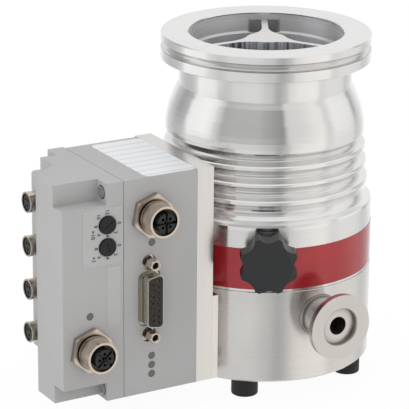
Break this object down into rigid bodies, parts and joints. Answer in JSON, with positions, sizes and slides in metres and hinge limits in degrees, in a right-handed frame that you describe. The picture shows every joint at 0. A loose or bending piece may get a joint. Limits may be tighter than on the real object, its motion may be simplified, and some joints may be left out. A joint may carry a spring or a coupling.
{
  "type": "turbomolecular pump",
  "caption": "Upright turbomolecular vacuum pump with a clamp-flange inlet, side fore-vacuum flange, vent knob, red band, rubber feet and a side-mounted electronics box with sockets.",
  "frame": {"origin": "centre of the inlet flange's sealing face, on the rotor axis", "axes": "+Z out of the inlet along the rotor axis, -X towards the electronics box, -Y along the fore-vacuum port"},
  "size_m": [0.1722, 0.1165, 0.1599],
  "materials": {
    "turned_aluminium": "fine turned, polished",
    "brushed_aluminium": "satin, brushed round",
    "machined_aluminium": "satin",
    "rotor_aluminium": "milled",
    "plate_aluminium": "drawn, bare",
    "red_film": "glossy film",
    "bearing_steel": "satin",
    "stainless": "satin, turned",
    "ceramic_ball": "polished",
    "cage_plastic": "matt",
    "magnet": "ground",
    "carbon_fibre": "wound",
    "black_rubber": "matt",
    "felt": "felted",
    "lamination": "stacked",
    "copper": "enamelled",
    "black_plastic": "matt",
    "knob_plastic": "fine grained",
    "painted_box": "fine textured powder coat",
    "nickel": "satin nickel",
    "tin_shell": "tinned",
    "socket_plastic": "smooth",
    "gold": "plated",
    "light_lens": "satin",
    "dial_plastic": "matt",
    "circuit_board": "solder resist",
    "label_white": "satin film",
    "sticker_grey": "satin film"
  },
  "bodies": {
    "pump": {"inlet_flange": "turned_aluminium", "upper_housing": "turned_aluminium", "band_film": "red_film", "bearing_star": "machined_aluminium", "safety_bearing": "bearing_steel", "magnet_rings_fixed": "magnet", "stator_discs": "rotor_aluminium", "spacer_rings": "machined_aluminium", "drag_stator_outer": "machined_aluminium", "drag_stator_inner": "machined_aluminium", "base_housing": "brushed_aluminium", "housing_seal": "black_rubber", "housing_screws": "bearing_steel", "bearing_outer_ring": "bearing_steel", "damping_rings": "black_rubber", "fluid_wick": "felt", "reservoir_cap": "machined_aluminium", "cap_seal": "black_rubber", "motor_core": "lamination", "motor_windings": "copper", "feedthrough": "black_plastic", "fore_vacuum_flange": "stainless", "stub_seal": "black_rubber", "rubber_feet": "black_rubber", "foot_studs": "bearing_steel", "electronics_plate": "plate_aluminium", "plate_screws": "bearing_steel", "electronics_cover": "painted_box", "fieldbus_housing": "painted_box", "m12_shells": "nickel", "m12_inserts": "socket_plastic", "m12_contacts": "gold", "dsub_shell": "tin_shell", "dsub_insert": "socket_plastic", "dsub_contacts": "gold", "dsub_jackscrews": "nickel", "indicator_lights": "light_lens", "switch_bodies": "black_plastic", "m8_shells": "nickel", "m8_inserts": "socket_plastic", "corner_screws": "bearing_steel", "main_board": "circuit_board", "fieldbus_board": "circuit_board", "type_plate": "label_white", "front_stickers": "sticker_grey"},
    "rotor": {"rotor_shaft": "bearing_steel", "bladed_rotor": "rotor_aluminium", "drag_sleeve": "carbon_fibre", "motor_magnet": "magnet", "magnet_rings_rotor": "magnet", "bearing_inner_ring": "bearing_steel", "splash_nut": "bearing_steel"},
    "bearing_balls_and_cage": {"bearing_balls": "ceramic_ball", "bearing_cage": "cage_plastic"},
    "vent_seal_ring": {"vent_seal": "black_rubber"},
    "vent_screw": {"vent_knob": "knob_plastic", "vent_spindle": "stainless"},
    "address_dial_upper": {"address_dial_1": "dial_plastic"},
    "address_dial_lower": {"address_dial_2": "dial_plastic"}
  },
  "joints": [
    {"name": "rotor_spin", "type": "hinge", "parent": "pump", "child": "rotor", "pos_m": [0, 0, -0.07], "axis": [0, 0, 1], "continuous": true},
    {"name": "cage_orbit", "type": "hinge", "parent": "pump", "child": "bearing_balls_and_cage", "pos_m": [0, 0, -0.13], "axis": [0, 0, 1], "continuous": true},
    {"name": "vent_lift", "type": "slide", "parent": "pump", "child": "vent_seal_ring", "axis": [-0.4863, -0.8738, 0], "range_m": [0, 0.00317]},
    {"name": "vent_turn", "type": "hinge", "parent": "vent_seal_ring", "child": "vent_screw", "pos_m": [-0.02723, -0.04893, -0.0906], "axis": [-0.4863, -0.8738, 0], "range_deg": [0, 1260]},
    {"name": "upper_dial_turn", "type": "hinge", "parent": "pump", "child": "address_dial_upper", "pos_m": [-0.09975, -0.036, -0.06545], "axis": [0, -1, 0], "continuous": true},
    {"name": "lower_dial_turn", "type": "hinge", "parent": "pump", "child": "address_dial_lower", "pos_m": [-0.09975, -0.036, -0.0755], "axis": [0, -1, 0], "continuous": true}
  ],
  "couplings": [
    {"joint": "cage_orbit", "follows": "rotor_spin", "ratio": 0.368},
    {"joint": "vent_turn", "follows": "vent_lift", "rad_per_m": 6927.4}
  ]
}
